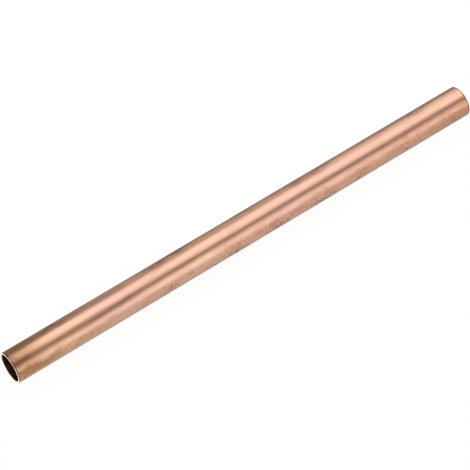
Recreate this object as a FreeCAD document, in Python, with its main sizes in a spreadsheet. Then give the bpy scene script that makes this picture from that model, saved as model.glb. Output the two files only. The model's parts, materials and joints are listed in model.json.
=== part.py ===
import FreeCAD, Part
import Sketcher
import os
from math import isclose

# A straight length of copper pipe, lying on its side along X with its underside at Z = 0.
# It is one piece: a ring section drawn to size and cut square at both ends. Deburring has
# rounded the outside corner of each cut and reamed a bevel into each mouth of the bore.

PIPE = "copper_pipe"

# The driving dimensions, in millimetres, each with what it sets.
SIZES = (
    ("outer_diameter", 15.0, "outside of the drawn wall, which enters a fitting's socket"),
    ("wall_thickness", 1.0, "from the outside to the bore"),
    ("pipe_length", 250.0, "from one cut end to the other"),
    ("outer_edge_round", 0.2, "radius on the outside corner of each cut end"),
    ("bore_edge_bevel", 0.25, "width and depth of the bevel at each mouth of the bore"),
)


def write_sizes(doc):
    """The sheet that drives the model: a name, a value and a meaning in each row."""
    sheet = doc.addObject("Spreadsheet::Sheet", "sizes")
    for row, (name, value, meaning) in enumerate(SIZES, start=1):
        sheet.set(f"A{row}", name)
        sheet.set(f"B{row}", str(value))
        sheet.set(f"C{row}", meaning)
        sheet.setAlias(f"B{row}", name)
    doc.recompute()


def origin_plane(body, role):
    """One of the body's own three planes."""
    return next(feature for feature in body.Origin.OriginFeatures if feature.Role == role)


def bind(sketch, constraint, name, formula):
    """Adds a dimension to a sketch, names it and lets a formula of the sheet drive it."""
    index = sketch.addConstraint(constraint)
    sketch.renameConstraint(index, name)
    sketch.setExpression(f"Constraints.{name}", formula)


def draw_ring(body):
    """The drawn section: the outside and the bore about one centre, standing on the ground line."""
    sizes = body.Document.sizes
    outside_radius = sizes.outer_diameter / 2
    bore_radius = outside_radius - sizes.wall_thickness
    centre = FreeCAD.Vector(0, outside_radius, 0)
    square_on = FreeCAD.Vector(0, 0, 1)

    ring = body.newObject("Sketcher::SketchObject", "drawn_section")
    ring.AttachmentSupport = [(origin_plane(body, "YZ_Plane"), "")]
    ring.MapMode = "FlatFace"
    outside = ring.addGeometry(Part.Circle(centre, square_on, outside_radius))
    bore = ring.addGeometry(Part.Circle(centre, square_on, bore_radius))

    # In a sketch, -1 and -2 are its own two axes; point 1 of an axis is the origin, point 3 a circle's centre.
    ground_line, upright_line, origin_point, centre_point = -1, -2, 1, 3
    ring.addConstraint(Sketcher.Constraint("Coincident", outside, centre_point, bore, centre_point))
    ring.addConstraint(Sketcher.Constraint("PointOnObject", outside, centre_point, upright_line))
    height = Sketcher.Constraint("DistanceY", ground_line, origin_point, outside, centre_point, centre.y)
    bind(ring, height, "axis_height", "sizes.outer_diameter / 2")
    outside_size = Sketcher.Constraint("Diameter", outside, 2 * outside_radius)
    bind(ring, outside_size, "outside_size", "sizes.outer_diameter")
    bore_size = Sketcher.Constraint("Diameter", bore, 2 * bore_radius)
    bind(ring, bore_size, "bore_size", "sizes.outer_diameter - 2 * sizes.wall_thickness")
    return ring


def draw_to_length(body, ring):
    """The drawn wall, as long on each side of the middle."""
    wall = body.newObject("PartDesign::Pad", "drawn_wall")
    wall.Profile = ring
    wall.SideType = "Symmetric"
    wall.setExpression("Length", "sizes.pipe_length")
    body.Document.recompute()
    return wall


def rim_edges(feature, diameter):
    """The names of the round edges of that diameter: one at each cut end."""
    names = []
    for index, edge in enumerate(feature.Shape.Edges, start=1):
        if isinstance(edge.Curve, Part.Circle) and isclose(2 * edge.Curve.Radius, diameter):
            names.append(f"Edge{index}")
    return names


def deburr(body, wall):
    """Rounds the outside corner of each cut end, then bevels each mouth of the bore."""
    sizes = body.Document.sizes
    rounded = body.newObject("PartDesign::Fillet", "outer_edge_rounds")
    rounded.Base = (wall, rim_edges(wall, sizes.outer_diameter))
    rounded.setExpression("Radius", "sizes.outer_edge_round")
    body.Document.recompute()

    bore_diameter = sizes.outer_diameter - 2 * sizes.wall_thickness
    bevelled = body.newObject("PartDesign::Chamfer", "bore_edge_bevels")
    bevelled.Base = (rounded, rim_edges(rounded, bore_diameter))
    bevelled.setExpression("Size", "sizes.bore_edge_bevel")
    body.Document.recompute()


def check_document(doc, pipe):
    """Stops before anything is written if a feature failed or the solid isn't sound."""
    for item in doc.Objects:
        if "Invalid" in item.State or "Error" in item.State:
            raise RuntimeError(f"{item.Name} failed: {item.State}")
    if pipe.Shape.isNull() or not pipe.Shape.isValid() or len(pipe.Shape.Solids) != 1:
        raise RuntimeError(f"{pipe.Label} isn't one valid solid")


doc = FreeCAD.newDocument("copper_pipe_length")
write_sizes(doc)
pipe = doc.addObject("PartDesign::Body", PIPE)
pipe.Label = PIPE
pipe.Placement = FreeCAD.Placement()
deburr(pipe, draw_to_length(pipe, draw_ring(pipe)))
doc.recompute()
check_document(doc, pipe)

os.makedirs("parts", exist_ok=True)
pipe.Shape.exportStep(f"parts/{pipe.Label}.step")
print(f"{pipe.Label}: {pipe.Shape.Volume:.1f} mm3, box {pipe.Shape.optimalBoundingBox()}")
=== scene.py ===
import json
import math

import bpy
from mathutils import Matrix, Vector


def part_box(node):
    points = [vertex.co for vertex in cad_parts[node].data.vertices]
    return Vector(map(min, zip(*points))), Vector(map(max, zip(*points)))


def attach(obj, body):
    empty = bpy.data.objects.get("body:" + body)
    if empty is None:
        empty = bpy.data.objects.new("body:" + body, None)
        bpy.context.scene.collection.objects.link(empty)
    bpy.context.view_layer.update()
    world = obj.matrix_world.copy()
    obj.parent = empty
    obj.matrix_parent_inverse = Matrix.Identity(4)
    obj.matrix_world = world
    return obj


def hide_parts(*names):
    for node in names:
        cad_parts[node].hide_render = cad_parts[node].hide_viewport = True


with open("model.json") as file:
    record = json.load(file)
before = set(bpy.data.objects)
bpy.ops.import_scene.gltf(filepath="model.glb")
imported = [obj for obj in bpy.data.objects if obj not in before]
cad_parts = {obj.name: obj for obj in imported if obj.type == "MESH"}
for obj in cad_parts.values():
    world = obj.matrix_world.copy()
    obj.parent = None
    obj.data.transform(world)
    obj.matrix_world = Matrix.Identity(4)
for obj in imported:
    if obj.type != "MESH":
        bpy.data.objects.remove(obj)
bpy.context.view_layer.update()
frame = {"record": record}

# The copper pipe
# One length of round tube, drawn cold through a die from a hollow billet of copper, then cut
# square at both ends and deburred by hand. It lies loose on the floor, and nothing is fixed to it.

MM = 0.001
mounts = {mount["name"]: mount for mount in frame["record"]["mounts"]}
pipe_low, pipe_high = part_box("copper_pipe")
pipe_length = pipe_high[0] - pipe_low[0]
half_pipe = pipe_length / 2
axis_height = mounts["bore"]["pos_m"][2]
outer_radius = mounts["outside"]["dims"]["r_mm"] * MM
bore_radius = mounts["bore"]["dims"]["r_mm"] * MM
edge_round = (pipe_length - mounts["outside"]["dims"]["length_mm"] * MM) / 2
mouth_bevel = (pipe_length - mounts["bore"]["dims"]["length_mm"] * MM) / 2

# The finish of the outside
# Drawn bright through the die, with fine lines left running along it. The side that it has lain on is
# stained, gritty and specked, and part of the stain's depth is painted shade. The back is tarnished,
# and handling and heat have browned both ends. Painted shade deepens the reflected dark line and greys
# two bands at the left end, a painted highlight lightens a stretch below the line, and a painted dark
# line runs round each cut.


def place(tree, kind, inputs=None, **settings):
    """Adds a node: settings are its own choices, and inputs give each socket a value or a wire."""
    node = tree.nodes.new(kind)
    for name, value in settings.items():
        setattr(node, name, value)
    for key, value in (inputs or {}).items():
        if isinstance(value, bpy.types.NodeSocket):
            tree.links.new(value, node.inputs[key])
        else:
            node.inputs[key].default_value = value
    return node


def metal(name):
    """A new material with its tree, its metal shader and coordinates centred on the pipe's axis."""
    material = bpy.data.materials.new(name)
    material.use_nodes = True
    tree = material.node_tree
    shader = tree.nodes["Principled BSDF"]
    shader.inputs["Metallic"].default_value = 1.0
    raw = place(tree, "ShaderNodeTexCoord").outputs["Object"]
    centred = place(tree, "ShaderNodeMapping", {"Vector": raw, "Location": (0, 0, -axis_height)})
    return material, tree, shader, centred.outputs["Vector"]


def work_out(tree, operation, *terms):
    """One step of arithmetic on values or wires."""
    return place(tree, "ShaderNodeMath", dict(enumerate(terms)), operation=operation).outputs[0]


def work_out_vector(tree, operation, *terms):
    """One step of vector arithmetic: a length or a dot product gives a value, the rest a vector."""
    node = place(tree, "ShaderNodeVectorMath", dict(enumerate(terms)), operation=operation)
    return node.outputs["Value" if operation in ("LENGTH", "DOT_PRODUCT") else "Vector"]


def off_axis(tree, coordinates):
    """What the coordinates hold across the pipe, with nothing along it."""
    return work_out_vector(tree, "MULTIPLY", coordinates, (0, 1, 1))


drawn_copper, tree, shader, centred = metal("drawn_copper")
shader.inputs["Specular Tint"].default_value = (0.78, 0.75, 0.71, 1)
along = place(tree, "ShaderNodeSeparateXYZ", {0: centred}).outputs["X"]
outward = work_out_vector(tree, "NORMALIZE", off_axis(tree, centred))


def span(tree, value, low, high, low_gives=0.0, high_gives=1.0):
    """A soft step: low_gives up to low, high_gives from high, and an S-curve between them."""
    node = place(
        tree, "ShaderNodeMapRange",
        {"Value": value, "From Min": low, "From Max": high, "To Min": low_gives, "To Max": high_gives},
        interpolation_type="SMOOTHSTEP",
    )
    return node.outputs["Result"]


def grain(tree, coordinates, size, stretch=1.0, detail=2.0, roughness=0.5):
    """Random grain of about that size in metres, drawn out along the pipe by stretch."""
    squeezed = work_out_vector(tree, "MULTIPLY", coordinates, (1 / stretch, 1, 1))
    noise = place(
        tree, "ShaderNodeTexNoise",
        {"Vector": squeezed, "Scale": 1 / size, "Detail": detail, "Roughness": roughness},
    )
    return noise.outputs["Fac"]


def blend(tree, share, first, second, how="MIX"):
    """Mixes two colours by a share from 0 to 1."""
    node = place(
        tree, "ShaderNodeMix",
        {"Factor": share, "A": first, "B": second},
        data_type="RGBA", blend_type=how,
    )
    return node.outputs["Result"]


# The bare metal is patched with peach and pink, and is more peach towards the left end.
peach_copper = (0.71, 0.442, 0.308, 1)
pink_copper = (0.705, 0.427, 0.33, 1)
patches = grain(tree, centred, size=14 * MM, stretch=2)
pinker = work_out(tree, "ADD", patches, span(tree, along, -110 * MM, -30 * MM, -0.12, 0.05))
bright = blend(tree, span(tree, pinker, 0.38, 0.62), peach_copper, pink_copper)


def tint(tree, share, colour, film):
    """Lays a film over a colour, by a share from 0 to 1: the film's colour multiplies it."""
    return blend(tree, share, colour, film, how="MULTIPLY")


# A thin film of oxide lies over it in long streaks and in blotches.
oxide_film = (0.80, 0.70, 0.62, 1)
streaks = grain(tree, centred, size=0.9 * MM, stretch=18, detail=3)
blotches = grain(tree, centred, size=5 * MM, stretch=1.8, detail=4, roughness=0.6)
streak_share = span(tree, streaks, 0.5, 0.75, 0, 0.55)
blotch_share = span(tree, blotches, 0.48, 0.68, 0, 0.25)
streaked = tint(tree, work_out(tree, "ADD", streak_share, blotch_share), bright, oxide_film)


def course(tree, along, stops):
    """A share that changes along the pipe: each stop is a place, in millimetres from the middle, and
    the share there."""
    length_share = work_out(tree, "MULTIPLY_ADD", along, 1 / pipe_length, 0.5)
    ramp = place(tree, "ShaderNodeValToRGB", {"Fac": length_share})
    points = ramp.color_ramp.elements
    last = len(stops) - 1
    for number, (place_mm, share) in enumerate(stops):
        position = place_mm * MM / pipe_length + 0.5
        point = points[number] if number in (0, last) else points.new(position)
        point.position = position
        point.color = (share, share, share, 1)
    return ramp.outputs["Color"]


# The side that it has lain on is stained pink and brown, and part of the stain's depth there is painted
# shade that darkens the lower front. The stain's ragged edge climbs towards the right end, and the line
# that it rested on is rubbed nearly clean.
lain_side = (0, -0.5, -0.87)
facing = work_out_vector(tree, "DOT_PRODUCT", outward, lain_side)
wander = work_out(tree, "SUBTRACT", blotches, 0.5)
uneven = work_out(tree, "ADD", facing, wander)
climb = span(tree, along, 10 * MM, 110 * MM, 0, 0.4)
underside = span(tree, work_out(tree, "ADD", uneven, climb), -0.3, 0.3)
rubbed = span(tree, uneven, 0.25, 0.65, 1, 0.25)
stain_and_shade_pink = (0.93, 0.86, 0.80, 1)
stain_and_shade_brown = (0.84, 0.70, 0.55, 1)
mottle = grain(tree, centred, size=1.4 * MM, stretch=1.6, detail=5, roughness=0.7)
stain_and_shade_colour = blend(tree, span(tree, mottle, 0.40, 0.62), stain_and_shade_pink, stain_and_shade_brown)
stain_and_shade_course = (
    (-125, 1), (-98, 1), (-75, 0.25), (-48, 0.55), (-33, 0.05), (-20, 0.5), (-8, 0.95), (3, 0.6),
    (60, 0.95), (125, 1),
)
stain_and_shade_band = work_out(tree, "MULTIPLY", underside, rubbed)
stain_and_shade_depth = work_out(tree, "MULTIPLY", stain_and_shade_band, course(tree, along, stain_and_shade_course))
stain_and_shade_share = work_out(tree, "MULTIPLY", stain_and_shade_depth, span(tree, blotches, 0.36, 0.60, 0.55, 1.0))
stained_and_shaded = tint(tree, stain_and_shade_share, streaked, stain_and_shade_colour)


def band(tree, value, rise, fall):
    """A band with soft edges: it rises from 0 to 1 over one pair of values and falls over another."""
    return work_out(tree, "MULTIPLY", span(tree, value, *rise), span(tree, value, *fall, 1, 0))


# Painted shade along the front deepens the reflected dark line over one stretch, and next to it a
# painted highlight lightens the line's lower edge and the band below it.
line_shade_brown = (0.85, 0.82, 0.79, 1)
line_shade_course = ((-125, 0), (-94, 0), (-84, 1), (-70, 0.9), (-58, 0), (125, 0))
line_shade_band = band(tree, uneven, rise=(-0.6, -0.42), fall=(-0.36, -0.2))
line_shade_share = work_out(tree, "MULTIPLY", line_shade_band, course(tree, along, line_shade_course))
line_shaded = tint(tree, line_shade_share, stained_and_shaded, line_shade_brown)
# Painted highlight: lightens the lower edge of the reflected dark line over the next stretch.
highlight_bright = (1.12, 1.14, 1.18, 1)
highlight_course = ((-125, 0), (-66, 0), (-57, 1), (-24, 1), (-10, 0), (125, 0))
highlight_band = band(tree, uneven, rise=(-0.55, -0.34), fall=(-0.3, -0.16))
highlight_share = work_out(tree, "MULTIPLY", highlight_band, course(tree, along, highlight_course))
highlighted = tint(tree, highlight_share, line_shaded, highlight_bright)

# The back is smeared with grey tarnish, in patches along the pipe.
tarnish_side = (0, 0.87, 0.5)
tarnish_grey = (0.30, 0.26, 0.25, 1)
tarnish_raggedness = 0.9
tarnish_course = (
    (-125, 0), (-102, 1), (-88, 0.2), (-58, 0), (-46, 0.8), (-36, 1), (-22, 0.15), (-8, 0.1),
    (1, 0.6), (12, 0.15), (26, 0.5), (48, 0.4), (60, 0.05), (97, 0.5), (125, 0.3),
)
turned_back = work_out_vector(tree, "DOT_PRODUCT", outward, tarnish_side)
tarnish_edge = work_out(tree, "MULTIPLY_ADD", wander, tarnish_raggedness, turned_back)
tarnish_band = span(tree, tarnish_edge, 0.60, 0.95)
tarnish_place = work_out(tree, "MULTIPLY", tarnish_band, course(tree, along, tarnish_course))
smear_shift = (7 * MM, 0, 0)
shifted = work_out_vector(tree, "SUBTRACT", centred, smear_shift)
smears = grain(tree, shifted, size=2.2 * MM, stretch=3, detail=4, roughness=0.65)
tarnish_share = work_out(tree, "MULTIPLY", tarnish_place, span(tree, smears, 0.40, 0.58, 0.4, 1.0))
tarnished = tint(tree, tarnish_share, highlighted, tarnish_grey)

# Both ends are browned: the left one nearly all round, and further along it low down, and the right
# one only low down.
browned = (0.71, 0.60, 0.48, 1)
left_raggedness = 8 * MM
right_raggedness = 15 * MM
low_side_reach = 8 * MM
from_left_cut = work_out(tree, "ADD", along, half_pipe)
from_right_cut = work_out(tree, "SUBTRACT", half_pipe, along)
from_left = work_out(tree, "MULTIPLY_ADD", wander, left_raggedness, from_left_cut)
from_right = work_out(tree, "MULTIPLY_ADD", wander, right_raggedness, from_right_cut)
high_side = span(tree, uneven, -0.45, -0.2, 1, 0.6)
low_side = span(tree, uneven, -0.05, 0.2)
polished = span(tree, uneven, 0.25, 0.6, 1, 0.1)
low_band = work_out(tree, "MULTIPLY", low_side, polished)
browning_edge = work_out(tree, "MULTIPLY_ADD", low_band, -low_side_reach, from_left)
left_fade = span(tree, browning_edge, 3 * MM, 21 * MM, 1, 0)
left_round = work_out(tree, "MULTIPLY", left_fade, work_out(tree, "MAXIMUM", high_side, low_side))
left_browning = work_out(tree, "MULTIPLY", left_round, polished)
right_fade = span(tree, from_right, 0, 45 * MM, 0.45, 0)
right_browning = work_out(tree, "MULTIPLY", right_fade, low_side)
browning = work_out(tree, "MAXIMUM", left_browning, right_browning)
warmed = tint(tree, browning, tarnished, browned)

# Painted shade: near the left end a high band and a band on the front are greyed darker, standing in
# for the reflections that shift at the rolled edge of the cut.
end_shade_grey = (0.78, 0.79, 0.80, 1)
upper_end_shade = band(tree, uneven, rise=(-0.85, -0.7), fall=(-0.55, -0.42))
front_end_shade = band(tree, uneven, rise=(-0.22, -0.05), fall=(0.08, 0.2))
end_shade_bands = work_out(tree, "ADD", upper_end_shade, front_end_shade)
end_shade_share = work_out(tree, "MULTIPLY", end_shade_bands, span(tree, from_left, 5.5 * MM, 9.5 * MM, 1, 0))
end_shaded = tint(tree, end_shade_share, warmed, end_shade_grey)

# Grit on the lain side darkens and lightens it in fine grains, and more so in clusters along the pipe.
cluster_pull = 0.5
cluster_course = (
    (-125, 0.3), (-100, 0.5), (-80, 0.15), (-62, 0.35), (-45, 0.6), (-30, 0.2), (-10, 1), (1, 0.15),
    (14, 1), (26, 0.2), (40, 1), (50, 0.15), (64, 0.6), (78, 0.2), (88, 0.6), (100, 0.25), (125, 0.5),
)
scattered = grain(tree, centred, size=7 * MM)
gathered = work_out(tree, "MULTIPLY_ADD", course(tree, along, cluster_course), cluster_pull, scattered)
clusters = span(tree, gathered, 0.56, 0.98)
grit_dark = (0.72, 0.68, 0.64, 1)
grit_light = (1.27, 1.31, 1.35, 1)
grit = grain(tree, centred, size=0.8 * MM, stretch=1.4, detail=3, roughness=0.7)
grit_colour = blend(tree, span(tree, grit, 0.36, 0.64), grit_dark, grit_light)
grit_side = span(tree, uneven, -0.2, 0.4)
grit_share = work_out(tree, "MULTIPLY", span(tree, clusters, 0, 1, 0.25, 1.0), grit_side)
gritty = tint(tree, grit_share, end_shaded, grit_colour)

# Dark ragged specks sit in the same clusters, low on the front, and some are fainter than others.
# This brown also draws the painted shade of the lines round the cuts.
speck_and_shade_brown = (0.12, 0.075, 0.055, 1)
speck_cover = 0.95
speck_spacing = 0.75 * MM
specked_side = (0, -0.91, -0.42)
speck_cells = place(tree, "ShaderNodeTexVoronoi", {"Vector": centred, "Scale": 1 / speck_spacing})
speck_raggedness = span(tree, mottle, 0.38, 0.62, -0.22, 0.18)
from_speck = work_out(tree, "ADD", speck_cells.outputs["Distance"], speck_raggedness)
dots = span(tree, from_speck, 0.28, 0.52, 1, 0)
dot_strength = span(tree, speck_cells.outputs["Color"], 0.2, 0.55, 0.25, 1)
uneven_dots = work_out(tree, "MULTIPLY", dots, dot_strength)
turned_front = work_out_vector(tree, "DOT_PRODUCT", outward, specked_side)
speck_side = span(tree, work_out(tree, "ADD", turned_front, wander), 0.72, 0.95)
specks = work_out(tree, "MULTIPLY", work_out(tree, "MULTIPLY", clusters, uneven_dots), speck_side)
speckled = blend(tree, work_out(tree, "MULTIPLY", specks, speck_cover), gritty, speck_and_shade_brown)

# Painted shade: a broken dark line runs round the pipe at each cut, standing in for the dark that the
# outer round reflects there. It takes the specks' brown.
cut_shade_width = 0.9 * MM
from_cut = work_out(tree, "SUBTRACT", half_pipe, work_out(tree, "ABSOLUTE", along))
at_cut_shade = span(tree, from_cut, 0.4 * cut_shade_width, cut_shade_width, 1, 0)
cut_shade_breaks = grain(tree, centred, size=1.8 * MM, detail=3)
cut_shade_strength = span(tree, cut_shade_breaks, 0.36, 0.54, 0.45, 0.9)
cut_shaded = blend(tree, work_out(tree, "MULTIPLY", at_cut_shade, cut_shade_strength), speckled, speck_and_shade_brown)
tree.links.new(cut_shaded, shader.inputs["Base Color"])

# The streaks, the stains, the browning and the specks each dull the polish that the die left.
die_polish = 0.20
streak_dulling = 0.12
stain_dulling = 0.06
browning_dulling = 0.06
speck_dulling = 0.2
streak_gloss = work_out(tree, "MULTIPLY_ADD", streaks, streak_dulling, die_polish)
stain_gloss = work_out(tree, "MULTIPLY_ADD", stain_and_shade_share, stain_dulling, streak_gloss)
browning_gloss = work_out(tree, "MULTIPLY_ADD", browning, browning_dulling, stain_gloss)
speck_gloss = work_out(tree, "MULTIPLY_ADD", specks, speck_dulling, browning_gloss)
tree.links.new(speck_gloss, shader.inputs["Roughness"])


def relief(tree, shader, height, depth):
    """Gives the surface a relief of that depth in metres, which only the light on it shows."""
    bump = place(tree, "ShaderNodeBump", {"Height": height, "Distance": depth, "Strength": 1.0})
    tree.links.new(bump.outputs[0], shader.inputs["Normal"])


# The die's lines are hairs of relief that run the length of the pipe.
draw_lines = grain(tree, centred, size=0.28 * MM, stretch=120, detail=2)
relief(tree, shader, draw_lines, depth=0.0018 * MM)

# The finish of the cut faces
# Copper bared by the cutter, paler than the rest and dulled here and there, with the cutter's fine
# marks running round it in rings.

cut_copper, tree, shader, centred = metal("cut_copper")
fresh_copper = (0.97, 0.80, 0.71, 1)
dull_copper = (0.86, 0.64, 0.51, 1)
dulling = grain(tree, centred, size=1.5 * MM, detail=4, roughness=0.6)
bared = blend(tree, span(tree, dulling, 0.48, 0.72), fresh_copper, dull_copper)
tree.links.new(bared, shader.inputs["Base Color"])
tree.links.new(span(tree, dulling, 0.3, 0.7, 0.26, 0.42), shader.inputs["Roughness"])
ring_radius = work_out_vector(tree, "LENGTH", off_axis(tree, centred))
ring_place = place(tree, "ShaderNodeCombineXYZ", {"X": ring_radius})
rings = grain(tree, ring_place.outputs[0], size=0.05 * MM, detail=3)
relief(tree, shader, rings, depth=0.004 * MM)

# The finish of the bore
# The scale that drawing and annealing left in the bore, and on the bevels at its mouths. Nothing
# has polished it since, so it is dark, dull and streaked lengthwise.

bore_copper, tree, shader, centred = metal("bore_copper")
soot_brown = (0.045, 0.023, 0.017, 1)
oxide_red = (0.13, 0.052, 0.032, 1)
scale = grain(tree, centred, size=1.2 * MM, stretch=12, detail=4, roughness=0.6)
scaled_bore = blend(tree, span(tree, scale, 0.40, 0.66), soot_brown, oxide_red)
tree.links.new(scaled_bore, shader.inputs["Base Color"])
tree.links.new(span(tree, scale, 0.3, 0.7, 0.62, 0.45), shader.inputs["Roughness"])
relief(tree, shader, scale, depth=0.02 * MM)

# The shape of the pipe
# The section of the wall, with its corners eased, is turned about Z and laid along X. The outside then
# sinks a little here and there, as cold drawing leaves it, and each surface gets its finish.

pipe_tree = bpy.data.node_groups.new("drawn_pipe", "GeometryNodeTree")
pipe_tree.interface.new_socket("Geometry", in_out="OUTPUT", socket_type="NodeSocketGeometry")
pipe_sizes = {
    "Length": pipe_length,
    "Outer Radius": outer_radius,
    "Bore Radius": bore_radius,
    "Edge Round": edge_round,
    "Mouth Bevel": mouth_bevel,
    "Axis Height": axis_height,
    "Step Along": 1.2 * MM,
    "Waviness": 0.07 * MM,
    "Wave Size": 8 * MM,
}
pipe_counts = {"Segments Around": 180, "Edge Segments": 6, "Seed": 4}
for name in pipe_sizes:
    pipe_tree.interface.new_socket(name, in_out="INPUT", socket_type="NodeSocketFloat")
for name in pipe_counts:
    pipe_tree.interface.new_socket(name, in_out="INPUT", socket_type="NodeSocketInt")
given = place(pipe_tree, "NodeGroupInput").outputs

# The section is the wall cut lengthwise: a long thin rectangle, rounded at its outside corners and
# bevelled at its bore corners.
wall = work_out(pipe_tree, "SUBTRACT", given["Outer Radius"], given["Bore Radius"])
section = place(
    pipe_tree, "GeometryNodeCurvePrimitiveQuadrilateral",
    {"Width": given["Length"], "Height": wall},
)
position = place(pipe_tree, "GeometryNodeInputPosition").outputs[0]
position_xyz = place(pipe_tree, "ShaderNodeSeparateXYZ", {0: position}).outputs
is_outside = place(
    pipe_tree, "FunctionNodeCompare",
    {"A": position_xyz["Y"], "B": 0.0},
    operation="GREATER_THAN",
)
corner_size = place(
    pipe_tree, "GeometryNodeSwitch",
    {"Switch": is_outside.outputs[0], "False": given["Mouth Bevel"], "True": given["Edge Round"]},
    input_type="FLOAT",
)
corner_count = place(
    pipe_tree, "GeometryNodeSwitch",
    {"Switch": is_outside.outputs[0], "False": 1, "True": given["Edge Segments"]},
    input_type="INT",
)
eased = place(
    pipe_tree, "GeometryNodeFilletCurve",
    {"Curve": section.outputs[0], "Radius": corner_size.outputs[0], "Count": corner_count.outputs[0]},
    mode="POLY",
)

# Each straight run of the section is cut into equal steps, and the section is stood on end.
run = place(pipe_tree, "GeometryNodeSplineParameter").outputs["Length"]
next_point = work_out(pipe_tree, "ADD", place(pipe_tree, "GeometryNodeInputIndex").outputs[0], 1)
next_run = place(
    pipe_tree, "GeometryNodeFieldAtIndex",
    {"Value": run, "Index": next_point},
    data_type="FLOAT",
)
run_length = work_out(pipe_tree, "SUBTRACT", next_run.outputs[0], run)
cuts = work_out(pipe_tree, "FLOOR", work_out(pipe_tree, "DIVIDE", run_length, given["Step Along"]))
divided = place(pipe_tree, "GeometryNodeSubdivideCurve", {"Curve": eased.outputs[0], "Cuts": cuts})
stood = place(
    pipe_tree, "GeometryNodeTransform",
    {"Geometry": divided.outputs[0], "Rotation": (0, 0, math.radians(-90))},
)

# The section follows a circle through the middle of the wall, and the tube is laid down at its height.
both_radii = work_out(pipe_tree, "ADD", given["Outer Radius"], given["Bore Radius"])
middle_radius = work_out(pipe_tree, "MULTIPLY", both_radii, 0.5)
circle = place(
    pipe_tree, "GeometryNodeCurvePrimitiveCircle",
    {"Resolution": given["Segments Around"], "Radius": middle_radius},
)
outwards = place(pipe_tree, "GeometryNodeSetCurveNormal", {"Curve": circle.outputs[0]}, mode="Z_UP")
turned = place(
    pipe_tree, "GeometryNodeCurveToMesh",
    {"Curve": outwards.outputs[0], "Profile Curve": stood.outputs[0]},
)
lift = place(pipe_tree, "ShaderNodeCombineXYZ", {"Z": given["Axis Height"]}).outputs[0]
laid = place(
    pipe_tree, "GeometryNodeTransform",
    {"Geometry": turned.outputs[0], "Translation": lift, "Rotation": (0, math.radians(90), 0)},
)

# The waviness only ever sinks the outside, so the pipe stays within its size.
wave_stretch = 2
from_axis = work_out_vector(pipe_tree, "SUBTRACT", position, lift)
crosswise = off_axis(pipe_tree, from_axis)
away = work_out_vector(pipe_tree, "LENGTH", crosswise)
is_outer = work_out(pipe_tree, "GREATER_THAN", away, middle_radius)
drawn_out = work_out_vector(pipe_tree, "MULTIPLY", from_axis, (1 / wave_stretch, 1, 1))
wave_scale = work_out(pipe_tree, "DIVIDE", 1, given["Wave Size"])
waves = place(
    pipe_tree, "ShaderNodeTexNoise",
    {"Vector": drawn_out, "W": given["Seed"], "Detail": 1.0, "Scale": wave_scale},
    noise_dimensions="4D",
)
sink = work_out(pipe_tree, "MULTIPLY", waves.outputs["Fac"], given["Waviness"])
straight_out = work_out_vector(pipe_tree, "NORMALIZE", crosswise)
sunk = place(
    pipe_tree, "ShaderNodeVectorMath",
    {0: straight_out, "Scale": work_out(pipe_tree, "MULTIPLY", sink, -1)},
    operation="SCALE",
)
waved = place(
    pipe_tree, "GeometryNodeSetPosition",
    {"Geometry": laid.outputs[0], "Selection": is_outer, "Offset": sunk.outputs[0]},
)

# The drawn surfaces are shaded smooth, and the edges of the bevels stay crisp.
crisp_angle = math.radians(30)
edge_angle = place(pipe_tree, "GeometryNodeInputMeshEdgeAngle").outputs["Unsigned Angle"]
is_crisp = place(
    pipe_tree, "FunctionNodeCompare",
    {"A": edge_angle, "B": crisp_angle},
    operation="GREATER_THAN",
)
smooth = place(pipe_tree, "GeometryNodeSetShadeSmooth", {"Geometry": waved.outputs[0]}, domain="FACE")
crisp = place(
    pipe_tree, "GeometryNodeSetShadeSmooth",
    {"Geometry": smooth.outputs[0], "Selection": is_crisp.outputs[0], "Shade Smooth": False},
    domain="EDGE",
)

# The cut faces lie between the mouth bevel and the outer round. The bevel has the finish of the bore.
from_middle = work_out(pipe_tree, "ABSOLUTE", position_xyz["X"])
half_length = work_out(pipe_tree, "MULTIPLY", given["Length"], 0.5)
bevel_starts = work_out(pipe_tree, "SUBTRACT", half_length, given["Mouth Bevel"])
round_starts = work_out(pipe_tree, "SUBTRACT", given["Outer Radius"], given["Edge Round"])
mouth_radius = work_out(pipe_tree, "ADD", given["Bore Radius"], given["Mouth Bevel"])
past_bevel = work_out(pipe_tree, "GREATER_THAN", from_middle, bevel_starts)
past_mouth = work_out(pipe_tree, "GREATER_THAN", away, mouth_radius)
inside_round = work_out(pipe_tree, "LESS_THAN", away, round_starts)
is_end = work_out(pipe_tree, "MULTIPLY", past_bevel, past_mouth)
is_cut = work_out(pipe_tree, "MULTIPLY", is_end, inside_round)
is_bore = work_out(pipe_tree, "MULTIPLY", work_out(pipe_tree, "SUBTRACT", 1, is_end), inside_round)
realized = place(pipe_tree, "GeometryNodeRealizeInstances", {"Geometry": crisp.outputs[0]})
dressed = place(
    pipe_tree, "GeometryNodeSetMaterial",
    {"Geometry": realized.outputs[0], "Material": drawn_copper},
)
for finish, where in ((cut_copper, is_cut), (bore_copper, is_bore)):
    dressed = place(
        pipe_tree, "GeometryNodeSetMaterial",
        {"Geometry": dressed.outputs[0], "Selection": where, "Material": finish},
    )
place(pipe_tree, "NodeGroupOutput", {"Geometry": dressed.outputs[0]})

blank = bpy.data.objects.new("blank", bpy.data.meshes.new("blank"))
bpy.context.collection.objects.link(blank)
draw_bench = blank.modifiers.new("draw_bench", "NODES")
draw_bench.node_group = pipe_tree
sockets = [item for item in pipe_tree.interface.items_tree if item.in_out == "INPUT"]
identifiers = {socket.name: socket.identifier for socket in sockets}
for name, value in {**pipe_sizes, **pipe_counts}.items():
    draw_bench[identifiers[name]] = value
evaluated = blank.evaluated_get(bpy.context.evaluated_depsgraph_get())
pipe_mesh = bpy.data.meshes.new_from_object(evaluated)
pipe_mesh.name = "copper_tube"
bpy.data.objects.remove(blank)

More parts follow.
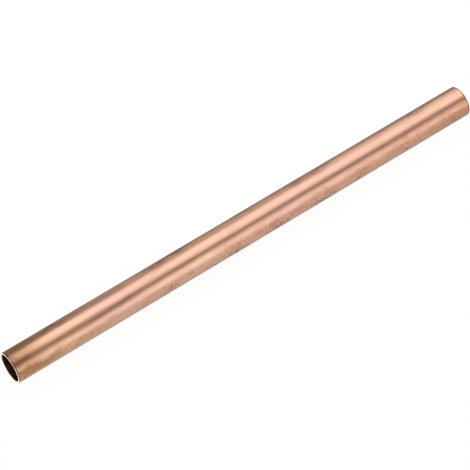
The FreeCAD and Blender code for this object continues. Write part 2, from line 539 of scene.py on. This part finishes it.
copper_tube = bpy.data.objects.new("copper_tube", pipe_mesh)
bpy.context.collection.objects.link(copper_tube)
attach(copper_tube, "root")
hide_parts("copper_pipe")

# The floor
# A plain white sheet under the pipe, wide enough to fill every view. It shows white to the camera
# and in reflections, and keeps a faint shadow where the pipe rests on it.

floor_half = 6.0
floor_mesh = bpy.data.meshes.new("floor")
floor_corners = [(-floor_half, -floor_half, 0), (floor_half, -floor_half, 0),
                 (floor_half, floor_half, 0), (-floor_half, floor_half, 0)]
floor_mesh.from_pydata(floor_corners, [], [(0, 1, 2, 3)])
floor = bpy.data.objects.new("floor", floor_mesh)
bpy.context.collection.objects.link(floor)


def seen_share(tree, by_camera, by_mirrors):
    """One share for rays from the camera, one for rays from metal and through glass, and 0 for the
    rays of falling light."""
    path = place(tree, "ShaderNodeLightPath").outputs
    mirrored = work_out(tree, "MAXIMUM", path["Is Glossy Ray"], path["Is Transmission Ray"])
    mirrored_share = work_out(tree, "MULTIPLY", mirrored, by_mirrors)
    camera_share = work_out(tree, "MULTIPLY", path["Is Camera Ray"], by_camera)
    return work_out(tree, "MAXIMUM", camera_share, mirrored_share)


white_sheet = bpy.data.materials.new("white_sheet")
white_sheet.use_nodes = True
tree = white_sheet.node_tree
tree.nodes.remove(tree.nodes["Principled BSDF"])
paper = place(tree, "ShaderNodeBsdfDiffuse", {"Color": (0.9, 0.9, 0.9, 1)})
glow = place(tree, "ShaderNodeEmission", {"Color": (1, 1, 1, 1), "Strength": 1.06})
glow_share = seen_share(tree, by_camera=0.88, by_mirrors=0.60)
glowing_paper = place(
    tree, "ShaderNodeMixShader",
    {"Fac": glow_share, 1: paper.outputs[0], 2: glow.outputs[0]},
)
tree.links.new(glowing_paper.outputs[0], tree.nodes["Material Output"].inputs["Surface"])
floor_mesh.materials.append(white_sheet)

# The studio
# A white tent with a broad softbox overhead and another low in front. One card hangs between the two,
# others stand or lie behind the pipe and by its left end. Only the metal sees them, as reflections.

room = bpy.data.worlds.new("studio")
bpy.context.scene.world = room
room.use_nodes = True
tree = room.node_tree
tent_light = place(tree, "ShaderNodeBackground", {"Color": (1, 1, 1, 1), "Strength": 0.5})
tent_white = place(tree, "ShaderNodeBackground", {"Color": (1, 1, 1, 1), "Strength": 1.0})
tent_share = seen_share(tree, by_camera=1.0, by_mirrors=1.0)
tent = place(
    tree, "ShaderNodeMixShader",
    {"Fac": tent_share, 1: tent_light.outputs[0], 2: tent_white.outputs[0]},
)
tree.links.new(tent.outputs[0], tree.nodes["World Output"].inputs["Surface"])
tree.nodes.remove(tree.nodes["Background"])


def facing_pipe(angle_deg, distance, station):
    """A placement at that angle round the pipe, counted from +Y, and that station along it. It faces
    the axis, its own X runs along the pipe, and its own Y points to smaller angles."""
    angle = math.radians(angle_deg)
    out_from_axis = Vector((0, math.cos(angle), math.sin(angle)))
    lengthwise = Vector((1, 0, 0))
    sideways = out_from_axis.cross(lengthwise)
    aim = Matrix((lengthwise, sideways, out_from_axis)).transposed().to_4x4()
    return Matrix.Translation(Vector((station, 0, axis_height)) + out_from_axis * distance) @ aim


def softbox(name, angle_deg, half_angle_deg, distance, station, length, radiance):
    """A flat lamp of even radiance, which reaches that half angle to each side as the pipe sees it."""
    width = 2 * distance * math.tan(math.radians(half_angle_deg))
    lamp = bpy.data.lights.new(name, "AREA")
    lamp.shape = "RECTANGLE"
    lamp.size = length
    lamp.size_y = width
    lamp.energy = radiance * math.pi * length * width
    box = bpy.data.objects.new(name, lamp)
    box.matrix_world = facing_pipe(angle_deg, distance, station)
    box.visible_camera = False
    bpy.context.collection.objects.link(box)


box_place = {"distance": 1.0, "station": 0.35, "length": 1.8}
softbox("top_softbox", angle_deg=70.5, half_angle_deg=23.5, radiance=0.48, **box_place)
softbox("front_softbox", angle_deg=160.5, half_angle_deg=15, radiance=0.36, **box_place)


def grey_card(name, rows):
    """A card that only shiny things see: rows of corners, each with its tone, joined by faces."""
    mesh = bpy.data.meshes.new(name)
    row_length = len(rows[0])
    entries = [entry for row in rows for entry in row]
    faces = []
    for row in range(len(rows) - 1):
        for column in range(row_length - 1):
            first = row * row_length + column
            faces.append((first, first + 1, first + 1 + row_length, first + row_length))
    mesh.from_pydata([corner for corner, tone in entries], [], faces)
    tones = mesh.color_attributes.new("tone", "FLOAT_COLOR", "POINT")
    for point, (corner, tone) in zip(tones.data, entries):
        point.color = tone
    card = bpy.data.objects.new(name, mesh)
    bpy.context.collection.objects.link(card)
    card.visible_camera = False
    card.visible_diffuse = False
    card.visible_shadow = False
    material = bpy.data.materials.new(name)
    material.use_nodes = True
    tree = material.node_tree
    tree.nodes.remove(tree.nodes["Principled BSDF"])
    painted = place(tree, "ShaderNodeVertexColor", layer_name="tone")
    glow = place(tree, "ShaderNodeEmission", {"Color": painted.outputs["Color"], "Strength": 1.0})
    tree.links.new(glow.outputs[0], tree.nodes["Material Output"].inputs["Surface"])
    mesh.materials.append(material)


def shade(brightness, warmth):
    """A card's colour: 0 is black, 1 is the tent's white and more is brighter. Warmth browns what is
    darker than the tent."""
    return (brightness, brightness ** (1 + warmth), brightness ** (1 + 2 * warmth), 1)


# The card between the softboxes draws the dark line along the pipe. Each row of its course holds a
# station, how far up the line is shifted in degrees, how much it is widened, how bright it is, and how
# bright the card's lower edge is.
plain_white = shade(1, 0)
gap_warmth = 0.35
gap_angle_deg = 120
gap_distance = 1.1
gap_steps_deg = (-19, -5, 5, 19)
lower_margin_deg = 14
gap_course = (
    (-0.6, 2, 1.3, 0.38, 1),
    (0.12, 2, 1.3, 0.38, 1),
    (0.19, -9.3, 1.72, 0.34, 1),
    (0.235, -10, 1.7, 0.2, 1),
    (0.265, -9.8, 1.7, 0.25, 1),
    (0.295, 3.9, 0.74, 0.38, 1.5),
    (0.47, 3.7, 0.78, 0.38, 1.2),
    (0.56, 1.2, 1.05, 0.38, 1),
    (0.68, 0.6, 1.12, 0.38, 1),
    (1.4, 0.6, 1.12, 0.38, 1),
)
gap_rows = []
for station, shift_deg, widening, line_tone, lower_edge in gap_course:
    asides_deg = [shift_deg + step_deg * widening for step_deg in gap_steps_deg]
    lowest_deg = asides_deg[0] - lower_margin_deg
    gap_brown = shade(line_tone, gap_warmth)
    tones = (shade(lower_edge, 0), plain_white, gap_brown, gap_brown, plain_white)
    row = []
    for aside_deg, tone in zip((lowest_deg, *asides_deg), tones):
        aside = gap_distance * math.tan(math.radians(aside_deg))
        row.append((facing_pipe(gap_angle_deg, gap_distance, station) @ Vector((0, aside, 0)), tone))
    gap_rows.append(row)
grey_card("gap_card", gap_rows)

# The card that stands behind the pipe draws the dark line along its upper edge. Each row of its course
# holds a station, the angle that the card reaches up to, and how bright it is at each angle.
behind = 0.5
backdrop_left = -0.6
backdrop_right = 0.8
card_warmth = 0.1
card_angles_deg = (0, 10, 24)
card_course = (
    (backdrop_left, 51, (0.34, 0.34, 0.25, 0.26)),
    (0.0, 51, (0.34, 0.34, 0.25, 0.26)),
    (0.035, 51, (0.40, 0.40, 0.32, 0.40)),
    (0.085, 50, (0.74, 0.74, 0.62, 0.83)),
    (0.245, 48, (0.68, 0.69, 0.61, 0.85)),
    (0.31, 48, (0.40, 0.60, 1.20, 0.96)),
    (backdrop_right, 48, (0.40, 0.60, 1.20, 0.96)),
)
card_rows = []
for station, top_deg, column in card_course:
    row = []
    for angle_deg, tone in zip((*card_angles_deg, top_deg), column):
        height = behind * math.tan(math.radians(angle_deg))
        row.append(((station, behind, height), shade(tone, card_warmth)))
    card_rows.append(row)
grey_card("back_card", card_rows)

card_lift = 0.0005


def flat_card(name, stations, asides, colour):
    """A card of one colour that lies on the floor, between two places along the pipe and two across."""
    rows = []
    for station in stations:
        rows.append([((station, aside, card_lift), colour) for aside in asides])
    grey_card(name, rows)


# The sheet on the floor behind the pipe greys its back, and the bright card lights the left rim.
sheet_front = 0.012
flat_card("back_sheet", (backdrop_left, backdrop_right), (sheet_front, behind), colour=shade(0.52, 0))
bounce_gap = 0.0005
bounce_reach = 0.06
bounce_front = -0.04
bounce_back = 0.05
bounce_stations = (-half_pipe - bounce_reach, -half_pipe - bounce_gap)
flat_card("bounce_card", bounce_stations, (bounce_front, bounce_back), colour=shade(1.55, -0.12))

# The camera
# A long lens that looks down on the pipe from the front left. It is held level, with no tilt to
# either side.

picture_px = 470
focal_length_px = 2094.8
camera_distance = 0.9406
camera_elevation = math.radians(54.41)
camera_turn = math.radians(36.17)
pipe_right_of_centre = 0.00445
pipe_above_centre = 0.0029

lens = bpy.data.cameras.new("camera")
lens.sensor_width = 36.0
lens.lens = focal_length_px / picture_px * lens.sensor_width
camera = bpy.data.objects.new("camera", lens)
bpy.context.collection.objects.link(camera)
level = math.cos(camera_elevation)
drop = math.sin(camera_elevation)
forward = Vector((level * math.sin(camera_turn), level * math.cos(camera_turn), -drop))
right = forward.cross(Vector((0, 0, 1))).normalized()
upward = right.cross(forward)
pipe_middle = Vector((0, 0, axis_height))
aim_point = pipe_middle - right * pipe_right_of_centre - upward * pipe_above_centre
camera.location = aim_point - forward * camera_distance
camera.rotation_euler = forward.to_track_quat("-Z", "Y").to_euler()
bpy.context.scene.camera = camera
bpy.context.scene.view_settings.view_transform = "Standard"
